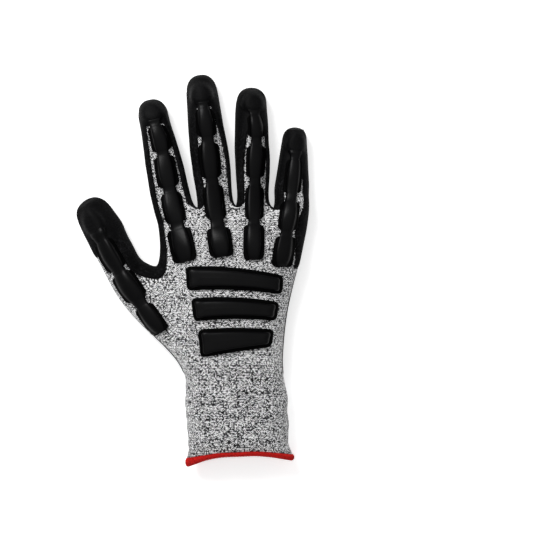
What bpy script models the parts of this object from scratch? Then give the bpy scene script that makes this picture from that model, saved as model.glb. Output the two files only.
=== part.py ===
"""Impact work glove for the right hand, lying palm down with its fingers along +Y and its back up.

A seamless knitted liner, a dipped coating over its palm and finger sides, moulded guards on each finger,
three moulded bars across the back of the hand and an overlocked edge round the cuff. Metres, +Z up.
The origin is on the table, under the middle of the palm.
"""

import math
from collections import namedtuple

import bmesh
import bpy
from mathutils import Vector
from mathutils.bvhtree import BVHTree

MM = 0.001

# Walls and gaps
KNIT_WALL = 1.3 * MM
COAT_WALL = 0.7 * MM
SEAT_GAP = 0.3 * MM
SKIN = SEAT_GAP + COAT_WALL

# Hand and cuff, measured over the coating
PALM_LENGTH = 111.0 * MM
PALM_WIDTH = 96.0 * MM
PALM_THICKNESS = 25.0 * MM
KNUCKLE_THICKNESS = 20.0 * MM
MIDDLE_ROOT = Vector((-0.1385 * PALM_WIDTH, 0.6847 * PALM_LENGTH))
INDEX_LENGTH = 72.0 * MM
MIDDLE_LENGTH = 84.5 * MM
RING_LENGTH = 75.7 * MM
LITTLE_LENGTH = 54.0 * MM
FINGER_WIDTH = 23.0 * MM
FINGER_THICKNESS = 16.5 * MM
THUMB_LENGTH = 63.0 * MM
THUMB_WIDTH = 27.0 * MM
THUMB_THICKNESS = 18.0 * MM
WEB_GAP = 2.9 * MM
COAT_SAG = 13.0 * MM
CROTCH_BAND = 6.0 * MM
CUFF_LENGTH = 53.3 * MM
CUFF_WIDTH = 71.0 * MM
CUFF_ARCH = 4.2 * MM
CUFF_TILT = 1.8 * MM
CUFF_EDGE_DIAMETER = 3.6 * MM

# Guards and bars
GUARD_HEIGHT = 4.4 * MM
FLANGE_HEIGHT = 1.3 * MM
CORNER_LENGTH = 2.6 * MM
BAR_HEIGHT = 3.8 * MM
BAR_RIM = 2.2 * MM
BAR_SLOPE = 1.2 * MM

# One row a finger. lean turns its tip towards the thumb, in degrees; behind is how far its root lies back
# from the middle finger's; bare is the share of its length whose back shows knit; left and right are
# where the coating ends on its back, as shares of its half width.
Finger = namedtuple(
    "Finger", "name length root_width width tip_width thickness lean behind bare left right"
)
INDEX = Finger(
    "index", INDEX_LENGTH, 0.2604 * PALM_WIDTH, 1.017 * FINGER_WIDTH, 0.843 * FINGER_WIDTH,
    0.97 * FINGER_THICKNESS, 12.6, 0.0225 * PALM_LENGTH, 0.70, -0.72, 0.80,
)
MIDDLE = Finger(
    "middle", MIDDLE_LENGTH, 0.2365 * PALM_WIDTH, 1.074 * FINGER_WIDTH, 0.870 * FINGER_WIDTH,
    FINGER_THICKNESS, 6.6, 0.0, 0.62, -0.60, 0.77,
)
RING = Finger(
    "ring", RING_LENGTH, 0.2167 * PALM_WIDTH, 0.974 * FINGER_WIDTH, 0.861 * FINGER_WIDTH,
    0.97 * FINGER_THICKNESS, 0.6, 0.0, 0.58, -0.56, 0.88,
)
LITTLE = Finger(
    "little", LITTLE_LENGTH, 0.2458 * PALM_WIDTH, 0.913 * FINGER_WIDTH, 0.696 * FINGER_WIDTH,
    0.88 * FINGER_THICKNESS, -3.0, 0.036 * PALM_LENGTH, 0.38, -0.60, 0.66,
)
FINGERS = (INDEX, MIDDLE, RING, LITTLE)
THUMB = Finger(
    "thumb", THUMB_LENGTH, 1.052 * THUMB_WIDTH, THUMB_WIDTH, 0.852 * THUMB_WIDTH,
    THUMB_THICKNESS, 30.2, 0.4676 * PALM_LENGTH, 0.42, -0.90, 0.20,
)
THUMB_REACH = 0.5458 * PALM_WIDTH
THUMB_WEB = 0.15
THUMB_HEEL = -0.05
THUMB_SWELL = 1.5 * MM

# Lines run along the hand on its sides, its back and its palm
SIDE, BACK, PALM = "side", "back", "palm"
UNDER = 0.66

# Palm and cuff sections from the knuckles to the cuff's mouth. along is a share of the palm's length
# (then of the cuff's), left and right are shares of the width, thumb_line and little_line are where the
# back's outermost lines run, as shares of the half width, and sag shifts the palm side back.
Row = namedtuple("Row", "along left right thickness thumb_line little_line sag")
PALM_ROWS = (
    Row(0.165, -0.515, 0.484, 0.92, -0.94, 0.86, 0.0),
    Row(0.385, -0.512, 0.428, 1.00, -0.95, 0.96, 0.0),
    Row(0.614, -0.505, 0.366, 1.04, -0.85, 0.80, 0.1),
    Row(0.848, -0.470, 0.333, 1.04, -0.84, 0.80, 0.6),
    Row(1.000, -0.355, 0.338, 1.00, -0.80, 0.80, 1.0),
)
CUFF_ROWS = (
    Row(0.35, -0.458, 0.486, 1.00, -0.80, 0.80, 0.6),
    Row(0.78, -0.430, 0.488, 1.02, -0.80, 0.80, 0.0),
    Row(1.00, -0.440, 0.530, 0.94, -0.80, 0.80, 0.0),
)
CROTCH_ROW, THUMB_ROW, HEEL_ROW = 2, 3, 4
WRIST_ROW = len(PALM_ROWS)

# Swellings of the guards. start and end are measured from the finger's root, as shares of its length
# ahead of it and of the palm's behind it. side is how far the swelling's middle sits off the finger's,
# and flange and ridge are half widths, all three as shares of the finger's half width. height is a
# share of the guard's.
Bead = namedtuple("Bead", "start end side flange ridge height")
BEADS = {
    "thumb": (
        Bead(0.840, 0.570, -0.32, 0.50, 0.40, 1.15),
        Bead(0.510, 0.200, -0.27, 0.48, 0.30, 0.95),
        Bead(0.150, -0.096, -0.20, 0.50, 0.34, 0.95),
        Bead(-0.142, -0.332, -0.05, 0.38, 0.28, 0.90),
    ),
    "index": (
        Bead(0.915, 0.780, -0.04, 0.50, 0.40, 1.00),
        Bead(0.745, 0.510, 0.12, 0.57, 0.33, 0.95),
        Bead(0.465, 0.180, 0.05, 0.60, 0.36, 1.00),
        Bead(0.130, -0.097, 0.00, 0.57, 0.37, 1.00),
        Bead(-0.133, -0.331, 0.02, 0.66, 0.44, 1.00),
    ),
    "middle": (
        Bead(0.880, 0.760, -0.04, 0.46, 0.38, 1.00),
        Bead(0.730, 0.510, 0.04, 0.54, 0.34, 0.95),
        Bead(0.460, 0.190, 0.03, 0.56, 0.36, 1.00),
        Bead(0.135, -0.099, 0.00, 0.60, 0.40, 1.00),
        Bead(-0.145, -0.320, 0.08, 0.70, 0.48, 1.00),
    ),
    "ring": (
        Bead(0.890, 0.780, 0.16, 0.48, 0.40, 1.00),
        Bead(0.750, 0.560, 0.30, 0.52, 0.32, 0.95),
        Bead(0.490, 0.215, 0.22, 0.58, 0.36, 1.00),
        Bead(0.140, -0.099, 0.12, 0.60, 0.38, 1.00),
        Bead(-0.126, -0.334, 0.07, 0.66, 0.44, 1.00),
    ),
    "little": (
        Bead(0.870, 0.660, 0.12, 0.56, 0.46, 1.00),
        Bead(0.600, 0.190, 0.03, 0.54, 0.32, 0.95),
        Bead(0.090, -0.129, -0.10, 0.55, 0.34, 1.00),
        Bead(-0.161, -0.341, -0.28, 0.60, 0.40, 1.00),
    ),
}

# Bars across the back of the hand: corner places as shares of the palm's length and width, and how far
# the front and back edges bow forward in their middle, as shares of the palm's length
Bar = namedtuple("Bar", "name left right front_left front_right back_left back_right bow")
BARS = (
    Bar("bar_front", -0.330, 0.330, 0.385, 0.441, 0.512, 0.530, 0.016),
    Bar("bar_middle", -0.293, 0.300, 0.575, 0.596, 0.688, 0.685, 0.014),
    Bar("bar_rear", -0.245, 0.266, 0.750, 0.755, 0.897, 0.832, 0.006),
)
BAR_STATIONS = 5

FIT_ROUNDS = 12
PROBE_HEIGHT = 100 * MM
PROBE_REACH = 0.8 * MM


def clear_scene():
    """Removes whatever the file holds."""
    for obj in list(bpy.data.objects):
        bpy.data.objects.remove(obj)


def collection(name, shown=True):
    """A collection of the scene; a hidden one holds guides."""
    made = bpy.data.collections.new(name)
    made.hide_render = not shown
    bpy.context.scene.collection.children.link(made)
    return made


def material(name, colour, roughness):
    """A plain Principled material."""
    made = bpy.data.materials.new(name)
    made.use_nodes = True
    shader = made.node_tree.nodes["Principled BSDF"]
    shader.inputs["Base Color"].default_value = (*colour, 1.0)
    shader.inputs["Roughness"].default_value = roughness
    return made


def root_of(finger):
    """Middle of a finger's root in plan. The fingers stand a web apart; the thumb has its own reach."""
    behind = Vector((0, -finger.behind))
    if finger is THUMB:
        return MIDDLE_ROOT + behind - Vector((THUMB_REACH, 0))
    first, last = sorted((FINGERS.index(finger), FINGERS.index(MIDDLE)))
    widths = [f.root_width for f in FINGERS[first : last + 1]]
    across = sum(widths) - (widths[0] + widths[-1]) / 2 + WEB_GAP * (last - first)
    toward = 1 if FINGERS.index(finger) > FINGERS.index(MIDDLE) else -1
    return MIDDLE_ROOT + behind + Vector((toward * across, 0))


def blend(x, *stops):
    """Value at x on a smooth line through (x, value) stops."""
    for (x0, v0), (x1, v1) in zip(stops, stops[1:]):
        if x <= x1:
            share = max(0.0, (x - x0) / (x1 - x0))
            return v0 + (v1 - v0) * share * share * (3 - 2 * share)
    return stops[-1][1]


def half_width(finger, along):
    """Half the finger's width over its coating, at a share of its length."""
    tip = 1 - finger.tip_width / 2 / finger.length
    return blend(along, (0, finger.root_width), (0.5, finger.width), (tip, finger.tip_width)) / 2


def on_finger(finger, along, across):
    """Plan point at shares of a finger's length and half width."""
    lean = math.radians(finger.lean)
    forward = Vector((-math.sin(lean), math.cos(lean)))
    rightward = Vector((math.cos(lean), math.sin(lean)))
    width = half_width(finger, along)
    return root_of(finger) + forward * along * finger.length + rightward * across * width


SIDE_LEVEL = 0.45
BACK_ROUNDNESS = 2.3
FLAT_SHARE = 0.5


def level(kind, across):
    """Height of a section at a share of its half width, as a share of its thickness."""
    if kind == SIDE:
        return SIDE_LEVEL
    if kind == BACK:
        arch = (1 - abs(across) ** BACK_ROUNDNESS) ** (1 / BACK_ROUNDNESS)
        return SIDE_LEVEL + (1 - SIDE_LEVEL) * arch
    turn = max(0.0, (abs(across) - FLAT_SHARE) / (1 - FLAT_SHARE))
    return SIDE_LEVEL * (1 - math.sqrt(1 - turn * turn))


def finger_lines(finger):
    """Lines round a finger, anticlockwise from its little finger side: share of half width, and place."""
    if finger is THUMB:
        crown = (finger.left + finger.right) / 2
        back, palm = (finger.right, crown, finger.left), (-UNDER, 0, UNDER)
    else:
        back, palm = (finger.right, finger.left), (-UNDER, UNDER)
    lines = [(1, SIDE)] + [(across, BACK) for across in back]
    return lines + [(-1, SIDE)] + [(across, PALM) for across in palm]


def coated_columns(finger):
    """Which columns of faces between a finger's lines the coating covers where its back is bare."""
    places = [kind for _, kind in finger_lines(finger)]
    bare = {i for i, kind in enumerate(places) if kind == BACK and places[i + 1] == BACK}
    if finger is THUMB:
        bare.add(places.index(SIDE, 1) - 1)
    return set(range(len(places))) - bare


def finger_rings(finger):
    """Sections of a finger: share of its length on either side, of its width and thickness, and lift."""
    tip = finger.tip_width / 2 / finger.length
    root = KNUCKLE_THICKNESS / finger.thickness
    right, left = (THUMB_WEB, THUMB_HEEL) if finger is THUMB else (0, 0)
    second = (right + finger.bare) / 2
    return (
        (right, left, 1, root, 0),
        (second, second, 1, 1 + (root - 1) / 3, 0),
        (finger.bare, finger.bare, 1, 1, 0),
        (1 - tip, 1 - tip, 1, 0.92, 0.01),
        (1 - 0.33 * tip, 1 - 0.33 * tip, 0.76, 0.66, 0.10),
    )


def finger_ring(finger, ring):
    """Points of the knit's outer face round one section of a finger."""
    right, left, narrow, thin, lift = ring
    rise = finger.thickness - SKIN
    points = []
    for across, kind in finger_lines(finger):
        along = (right + left) / 2 + (right - left) / 2 * across
        inset = 1 - SKIN / half_width(finger, along)
        plan = on_finger(finger, along, across * narrow * inset)
        height = SKIN + rise * (lift + thin * level(kind, across))
        points.append(Vector((plan.x, plan.y, height)))
    return points


def palm_shares(roots):
    """Share of the half width of each back line and each palm line at the knuckles."""
    left, right = roots[0][W].x, roots[-1][E].x
    middle, half = (left + right) / 2, (right - left) / 2
    back = [(ring[i].x - middle) / half for ring in roots for i in (BL, BR)]
    palm = [(ring[i].x - middle) / half for ring in roots for i in (SW, SE)]
    return back, palm


def palm_ring(row, roots, even):
    """Points round the palm or cuff: thumb side, over the back, little finger side, under the palm."""
    if row in PALM_ROWS:
        y = MIDDLE_ROOT.y - row.along * PALM_LENGTH
        left, right = row.left * PALM_WIDTH + SKIN, row.right * PALM_WIDTH - SKIN
    else:
        y = MIDDLE_ROOT.y - PALM_LENGTH - row.along * CUFF_LENGTH
        left, right = row.left * CUFF_WIDTH, row.right * CUFF_WIDTH
    at_mouth = row is CUFF_ROWS[-1]
    middle, half = (left + right) / 2, (right - left) / 2
    rise = PALM_THICKNESS * row.thickness - SKIN
    back, palm = palm_shares(roots)
    last = len(back) - 1
    points = []

    def place(share, kind):
        drop = row.sag * COAT_SAG * (1 - share * share) if kind == PALM else 0
        lift = at_mouth * (CUFF_ARCH * (1 - share * share) + CUFF_TILT * share)
        points.append(Vector((middle + share * half, y - drop + lift, SKIN + rise * level(kind, share))))

    def evened(shares, i):
        spread = row.thumb_line + (row.little_line - row.thumb_line) * i / last
        return shares[i] + (spread - shares[i]) * even

    place(-1, SIDE)
    place(row.thumb_line, BACK)
    if row is PALM_ROWS[CROTCH_ROW - 1]:
        points[-1].y -= CROTCH_BAND
    for i in range(1, last):
        place(evened(back, i), BACK)
    place(row.little_line, BACK)
    place(1, SIDE)
    for i in range(last, -1, -1):
        place(evened(palm, i), PALM)
    return points


class Cage:
    """Quads of the hand's coarse form, each marked as coated or bare."""

    def __init__(self):
        self.points = []
        self.faces = []
        self.coated = []

    def add(self, points):
        """Adds points and returns their indices."""
        first = len(self.points)
        self.points += points
        return list(range(first, first + len(points)))

    def quad(self, corners, coated):
        """Adds a face by its corners, anticlockwise from outside."""
        self.faces.append(corners)
        self.coated.append(coated)

    def band(self, lower, upper, coated):
        """Faces between two rings of a finger; coated says which columns the coating covers."""
        count = len(lower)
        for i in range(count):
            j = (i + 1) % count
            self.quad((lower[j], lower[i], upper[i], upper[j]), i in coated)


# Places round a finger's ring
E, BR, BL, W, SW, SE = range(6)


def add_finger(cage, finger, root):
    """The finger's sections beyond its root ring, and its closed tip."""
    rings = finger_rings(finger)
    lower = root
    for ring in rings[1:]:
        upper = cage.add(finger_ring(finger, ring))
        bare = ring[0] <= finger.bare
        cage.band(lower, upper, coated_columns(finger) if bare else set(range(len(lower))))
        lower = upper
    plan = on_finger(finger, 1 - SKIN / finger.length, 0)
    tip = cage.add([Vector((plan.x, plan.y, finger.thickness * 0.46))])[0]
    for i in range(0, len(lower), 2):
        cage.quad((tip, lower[(i + 2) % len(lower)], lower[i + 1], lower[i]), True)


def hand_cage():
    """The whole outer face of the knit as a cage, open at the cuff."""
    cage = Cage()
    root_points = [finger_ring(f, finger_rings(f)[0]) for f in FINGERS]
    roots = [cage.add(points) for points in root_points]
    for finger, root in zip(FINGERS, roots):
        add_finger(cage, finger, root)
    for a, b in zip(roots, roots[1:]):
        cage.quad((a[BR], b[BL], b[W], a[E]), True)
        cage.quad((a[E], b[W], b[SW], a[SE]), True)

    upper = [roots[0][W]]
    upper += [ring[i] for ring in roots for i in (BL, BR)]
    upper += [roots[-1][E]]
    upper += [ring[i] for ring in reversed(roots) for i in (SE, SW)]
    last_back = 2 * len(FINGERS)
    back_columns = range(1, last_back)
    for number, row in enumerate(PALM_ROWS + CUFF_ROWS, start=1):
        lower = cage.add(palm_ring(row, root_points, even=min(1.0, number / WRIST_ROW)))
        if number == CROTCH_ROW:
            crotch = lower
        elif number == THUMB_ROW:
            beside = lower
        elif number == HEEL_ROW:
            heel = lower
        count = len(lower)
        for i in range(count):
            j = (i + 1) % count
            at_thumb = CROTCH_ROW < number <= HEEL_ROW and (i == 0 or j == 0)
            if at_thumb:
                continue
            if number > WRIST_ROW or i in back_columns:
                coated = False
            elif i in (0, last_back):
                coated = number <= CROTCH_ROW
            else:
                coated = True
            cage.quad((lower[i], lower[j], upper[j], upper[i]), coated)
        upper = lower

    mouth = [crotch[0], crotch[1], beside[1], heel[1], heel[0], heel[-1], beside[-1], crotch[-1]]
    root = cage.add(finger_ring(THUMB, finger_rings(THUMB)[0]))
    between = cage.add([(cage.points[a] + cage.points[b]) / 2 for a, b in zip(mouth, root)])
    lean = math.radians(THUMB.lean)
    cage.points[between[mouth.index(heel[0])]] -= Vector((math.cos(lean), math.sin(lean), 0)) * THUMB_SWELL
    cage.band(mouth, between, coated_columns(THUMB))
    cage.band(between, root, coated_columns(THUMB))
    add_finger(cage, THUMB, root)
    return cage


def evaluated(obj):
    """The object's mesh with its modifiers, as a new mesh."""
    bpy.context.view_layer.update()
    graph = bpy.context.evaluated_depsgraph_get()
    return bpy.data.meshes.new_from_object(obj.evaluated_get(graph))


def subdivided_hand(guides):
    """The knit's outer face: the cage, moved until its subdivided surface passes through its points."""
    cage = hand_cage()
    mesh = bpy.data.meshes.new("hand_cage")
    mesh.from_pydata(cage.points, [], cage.faces)
    mesh.polygons.foreach_set("material_index", cage.coated)
    for _ in range(2):
        mesh.materials.append(None)
    unused = [v.index for v in mesh.vertices if v.index not in {i for f in cage.faces for i in f}]
    guide = bpy.data.objects.new("hand_cage", mesh)
    guides.objects.link(guide)
    guide.hide_render = True
    guide.display_type = "WIRE"
    smooth = guide.modifiers.new("smooth", "SUBSURF")
    smooth.levels = smooth.render_levels = 1
    for _ in range(FIT_ROUNDS):
        surface = evaluated(guide)
        for vertex, target in zip(mesh.vertices, cage.points):
            vertex.co += target - surface.vertices[vertex.index].co
        bpy.data.meshes.remove(surface)
    surface = evaluated(guide)
    shape = bmesh.new()
    shape.from_mesh(surface)
    shape.verts.ensure_lookup_table()
    bmesh.ops.delete(shape, geom=[shape.verts[i] for i in unused], context="VERTS")
    for vertex in shape.verts:
        vertex.co.z = max(vertex.co.z, SKIN)
    shape.to_mesh(surface)
    shape.free()
    return surface


def keep_coated(mesh):
    """A copy of the surface with only its coated faces."""
    kept = mesh.copy()
    shape = bmesh.new()
    shape.from_mesh(kept)
    bare = [face for face in shape.faces if face.material_index == 0]
    bmesh.ops.delete(shape, geom=bare, context="FACES")
    shape.to_mesh(kept)
    shape.free()
    return kept


def dressed(name, mesh, finish, group):
    """An object of the glove, smooth shaded, with one material."""
    mesh.materials.clear()
    mesh.materials.append(finish)
    mesh.polygons.foreach_set("material_index", [0] * len(mesh.polygons))
    mesh.shade_smooth()
    mesh.name = name
    obj = bpy.data.objects.new(name, mesh)
    group.objects.link(obj)
    return obj


def wall(obj, thickness, inward):
    """Gives an open surface its thickness."""
    solid = obj.modifiers.new("wall", "SOLIDIFY")
    solid.thickness = thickness
    solid.offset = -1 if inward else 1
    solid.use_even_offset = True
    return solid


def loft(name, loops, finish, group):
    """A closed solid through loops of equally many points."""
    shape = bmesh.new()
    rings = [[shape.verts.new(p) for p in loop] for loop in loops]
    for a, b in zip(rings, rings[1:]):
        for i in range(len(a)):
            j = (i + 1) % len(a)
            shape.faces.new((a[i], a[j], b[j], b[i]))
    shape.faces.new(list(reversed(rings[0])))
    shape.faces.new(rings[-1])
    bmesh.ops.triangulate(shape, faces=shape.faces[:])
    bmesh.ops.recalc_face_normals(shape, faces=shape.faces[:])
    mesh = bpy.data.meshes.new(name)
    shape.to_mesh(mesh)
    shape.free()
    return dressed(name, mesh, finish, group)


class Ground:
    """What a guard lies on: the highest glove surface under a plan point."""

    def __init__(self, objects):
        shape = bmesh.new()
        for obj in objects:
            mesh = evaluated(obj)
            shape.from_mesh(mesh)
            bpy.data.meshes.remove(mesh)
        bmesh.ops.triangulate(shape, faces=shape.faces[:])
        self.tree = BVHTree.FromBMesh(shape)
        shape.free()

    def height(self, plan, direction):
        """Highest surface at a plan point and just before and behind it, along a direction."""
        found = []
        for step in (-PROBE_REACH, 0, PROBE_REACH):
            at = plan + direction * step
            hit = self.tree.ray_cast(Vector((at.x, at.y, PROBE_HEIGHT)), Vector((0, 0, -1)))[0]
            if hit:
                found.append(hit.z)
        return max(found)

    def seats(self, rows, direction):
        """Heights for rows of plan points such that the facets between them clear the glove too."""
        heights = [[self.height(plan, direction) + SEAT_GAP for plan in row] for row in rows]
        places = [(i, j) for i in range(len(rows)) for j in range(len(rows[0]))]
        for i, j in places * 2:
            for k, m in ((i + 1, j), (i, j + 1), (i + 1, j + 1), (i + 1, j - 1)):
                if k == len(rows) or not 0 <= m < len(rows[0]):
                    continue
                for share in (0.25, 0.5, 0.75):
                    needed = self.height(rows[i][j].lerp(rows[k][m], share), direction) + SEAT_GAP
                    short = needed - heights[i][j] * (1 - share) - heights[k][m] * share
                    heights[i][j] += max(short, 0)
                    heights[k][m] += max(short, 0)
        return heights

    def drape(self, over, under, direction):
        """Closed loops of a moulding lying on the glove: over holds rows of (plan point, thickness)."""
        tops = self.seats([[plan for plan, _ in row] for row in over], direction)
        seats = self.seats(under, direction)
        loops = []
        for row, high, plans, low in zip(over, tops, under, seats):
            loop = [Vector((*plan, z + thickness)) for (plan, thickness), z in zip(row, high)]
            loops.append(loop + [Vector((*plan, z)) for plan, z in zip(plans, low)])
        return loops


# A guard's section, from one flange edge over the ridge to the other and back underneath: share of the
# flange's half width, share of the ridge's, and share of the height above the flange
GUARD_TOP = ((-1, 0, 0), (0, -1, 0.12), (0, -0.66, 0.80), (0, 0, 1), (0, 0.66, 0.80), (0, 1, 0.12), (1, 0, 0))
GUARD_BELOW = (1, 0.35, -0.35, -1)
# Stations of one swelling: share of the way along it, of its flange, of its ridge and of its height
SWELLING = (
    (0, 0.66, 0.62, 0.45), (0, 1, 0.86, 0.86), (0.5, 1, 1, 1), (1, 1, 0.86, 0.86), (1, 0.66, 0.62, 0.45),
)


def side_at(beads, along):
    """How far off the finger's middle a guard runs: straight between the middles of its swellings."""
    middles = [((bead.start + bead.end) / 2, bead.side) for bead in beads]
    first = sum(middle > along for middle, _ in middles[1:-1])
    (a, side_a), (b, side_b) = middles[first : first + 2]
    return side_a + (side_b - side_a) * (a - along) / (a - b)


def guard_stations(finger, beads):
    """Sections of a guard: along, side, flange, ridge and height, with pairs where the coating steps."""
    corner = CORNER_LENGTH / finger.length
    ends = [[end * (PALM_LENGTH / finger.length if end < 0 else 1) for end in bead[:2]] for bead in beads]
    beads = [bead._replace(start=start, end=end) for bead, (start, end) in zip(beads, ends)]
    stations = []
    for bead in beads:
        inner = (0, corner, 0, -corner, 0)
        for (share, flange, ridge, height), shift in zip(SWELLING, inner):
            along = bead.start + (bead.end - bead.start) * share - shift
            side = side_at(beads, along)
            stations.append((along, side, bead.flange * flange, bead.ridge * ridge, bead.height * height))
    for clear in (0.5 * MM, 1.9 * MM):
        along = finger.bare - clear / finger.length
        after = next(i for i, s in enumerate(stations) if s[0] < along)
        a, b = stations[after - 1], stations[after]
        share = (a[0] - along) / (a[0] - b[0])
        stations.insert(after, tuple(p + (q - p) * share for p, q in zip(a, b)))
    return stations


def guard(finger, ground, finish, group):
    """The moulded strip of swellings along a finger's back."""
    lean = math.radians(finger.lean)
    forward = Vector((-math.sin(lean), math.cos(lean)))
    over, under = [], []
    for along, side, flange, ridge, height in guard_stations(finger, BEADS[finger.name]):
        above = GUARD_HEIGHT * height - FLANGE_HEIGHT
        over.append([
            (on_finger(finger, along, side + flange * a + ridge * b), FLANGE_HEIGHT + above * rise)
            for a, b, rise in GUARD_TOP
        ])
        under.append([on_finger(finger, along, side + flange * share) for share in GUARD_BELOW])
    loops = ground.drape(over, under, forward)
    return loft(f"guard_{finger.name}", loops, finish, group)


def bar(sizes, ground, finish, group):
    """One moulded bar across the back of the hand: a thin rim round a raised top."""
    left, right = sizes.left * PALM_WIDTH, sizes.right * PALM_WIDTH
    inside = BAR_RIM + BAR_SLOPE
    places = [left, left + BAR_RIM]
    places += [left + inside + (right - left - 2 * inside) * i / (BAR_STATIONS - 1) for i in range(BAR_STATIONS)]
    places += [right - BAR_RIM, right]
    over, under = [], []
    for number, x in enumerate(places):
        share = (x - left) / (right - left)
        bow = sizes.bow * 4 * share * (1 - share)
        front_share = sizes.front_left + (sizes.front_right - sizes.front_left) * share - bow
        back_share = sizes.back_left + (sizes.back_right - sizes.back_left) * share - bow
        front = MIDDLE_ROOT.y - PALM_LENGTH * front_share
        back = MIDDLE_ROOT.y - PALM_LENGTH * back_share
        raised = 2 <= number <= len(places) - 3
        top = BAR_HEIGHT if raised else FLANGE_HEIGHT
        section = (
            (front, FLANGE_HEIGHT), (front - BAR_RIM, FLANGE_HEIGHT), (front - inside, top),
            ((front + back) / 2, top), (back + inside, top), (back + BAR_RIM, FLANGE_HEIGHT),
            (back, FLANGE_HEIGHT),
        )
        over.append([(Vector((x, y)), thickness) for y, thickness in section])
        under.append([Vector((x, back + (front - back) * i / 4)) for i in range(5)])
    loops = ground.drape(over, under, Vector((1, 0)))
    return loft(sizes.name, loops, finish, group)


def cuff_edge(surface, finish, group):
    """The overlocked roll round the cuff's mouth, just past the knit's cut end."""
    shape = bmesh.new()
    shape.from_mesh(surface)
    edge = next(e for e in shape.edges if e.is_boundary)
    start = edge.verts[0]
    loop, vertex = [], start
    while True:
        loop.append(vertex)
        edge = next(e for e in vertex.link_edges if e.is_boundary and e.other_vert(vertex) not in loop[-2:])
        vertex = edge.other_vert(vertex)
        if vertex is start:
            break
    radius = CUFF_EDGE_DIAMETER / 2
    points = []
    for vertex in loop:
        inward = Vector((vertex.normal.x, 0, vertex.normal.z)).normalized() * KNIT_WALL / 2
        point = vertex.co - inward - Vector((0, radius + SEAT_GAP, 0))
        point.z = max(point.z, radius)
        points.append(point)
    shape.free()
    curve = bpy.data.curves.new("cuff_edge", "CURVE")
    curve.dimensions = "3D"
    curve.bevel_depth = radius
    curve.bevel_resolution = 1
    spline = curve.splines.new("POLY")
    spline.points.add(len(points) - 1)
    for place, point in zip(spline.points, points):
        place.co = (*point, 1)
    spline.use_cyclic_u = True
    curve.materials.append(finish)
    obj = bpy.data.objects.new("cuff_edge", curve)
    group.objects.link(obj)
    return obj


def main():
    clear_scene()
    glove = collection("impact_glove")
    guides = collection("guides", shown=False)
    knit_yarn = material("knit_yarn", (0.45, 0.45, 0.46), 0.9)
    nitrile = material("nitrile_coating", (0.012, 0.012, 0.013), 0.75)
    guard_rubber = material("guard_rubber", (0.016, 0.016, 0.017), 0.42)
    edge_thread = material("edge_thread", (0.60, 0.02, 0.02), 0.85)

    surface = subdivided_hand(guides)
    knit = dressed("knit_liner", surface.copy(), knit_yarn, glove)
    wall(knit, KNIT_WALL, inward=True)

    coat = dressed("palm_coating", keep_coated(surface), nitrile, glove)
    seat = coat.modifiers.new("seat", "DISPLACE")
    seat.strength = SEAT_GAP
    seat.mid_level = 0
    wall(coat, COAT_WALL, inward=False)

    cuff_edge(surface, edge_thread, glove)
    ground = Ground((knit, coat))
    for finger in (THUMB, *FINGERS):
        guard(finger, ground, guard_rubber, glove)
    for sizes in BARS:
        bar(sizes, ground, guard_rubber, glove)


main()
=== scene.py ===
"""Looks of the impact work glove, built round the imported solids. Metres, +Z up, fingers along +Y."""

import math
from collections import namedtuple
from contextlib import contextmanager
from functools import partial

import bmesh
import bpy
import numpy as np
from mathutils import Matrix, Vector, noise
from mathutils.bvhtree import BVHTree
from mathutils.kdtree import KDTree


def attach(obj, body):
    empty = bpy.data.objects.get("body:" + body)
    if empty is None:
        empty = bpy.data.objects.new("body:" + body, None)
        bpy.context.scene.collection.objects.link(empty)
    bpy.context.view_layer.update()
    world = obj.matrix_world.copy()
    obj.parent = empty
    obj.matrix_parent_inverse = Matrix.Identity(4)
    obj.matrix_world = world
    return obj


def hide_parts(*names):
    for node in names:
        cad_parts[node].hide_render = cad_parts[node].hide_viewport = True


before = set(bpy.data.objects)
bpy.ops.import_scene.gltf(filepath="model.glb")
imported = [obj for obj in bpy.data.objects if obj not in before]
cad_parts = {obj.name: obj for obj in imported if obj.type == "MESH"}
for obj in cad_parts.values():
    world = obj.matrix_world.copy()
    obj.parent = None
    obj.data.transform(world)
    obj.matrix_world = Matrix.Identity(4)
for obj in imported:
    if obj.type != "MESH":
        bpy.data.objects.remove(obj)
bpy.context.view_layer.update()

MM = 0.001

# Walls and gaps
KNIT_WALL = 1.3 * MM
COAT_WALL = 0.7 * MM
SEAT_GAP = 0.3 * MM
SKIN = SEAT_GAP + COAT_WALL

# Hand and cuff, measured over the coating
PALM_LENGTH = 111.0 * MM
PALM_WIDTH = 96.0 * MM
PALM_THICKNESS = 25.0 * MM
KNUCKLE_THICKNESS = 20.0 * MM
MIDDLE_ROOT = Vector((-0.1385 * PALM_WIDTH, 0.6847 * PALM_LENGTH))
INDEX_LENGTH = 72.0 * MM
MIDDLE_LENGTH = 84.5 * MM
RING_LENGTH = 75.7 * MM
LITTLE_LENGTH = 54.0 * MM
FINGER_WIDTH = 23.0 * MM
FINGER_THICKNESS = 16.5 * MM
THUMB_LENGTH = 63.0 * MM
THUMB_WIDTH = 27.0 * MM
THUMB_THICKNESS = 18.0 * MM
WEB_GAP = 2.9 * MM
COAT_SAG = 13.0 * MM
CROTCH_BAND = 6.0 * MM
CUFF_LENGTH = 53.3 * MM
CUFF_WIDTH = 71.0 * MM
CUFF_ARCH = 3.7 * MM
CUFF_TILT = 1.2 * MM

# Guards and bars
GUARD_HEIGHT = 4.4 * MM
FLANGE_HEIGHT = 1.3 * MM
STAND = 0.6 * MM
SUNK = 0.3 * MM

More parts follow.
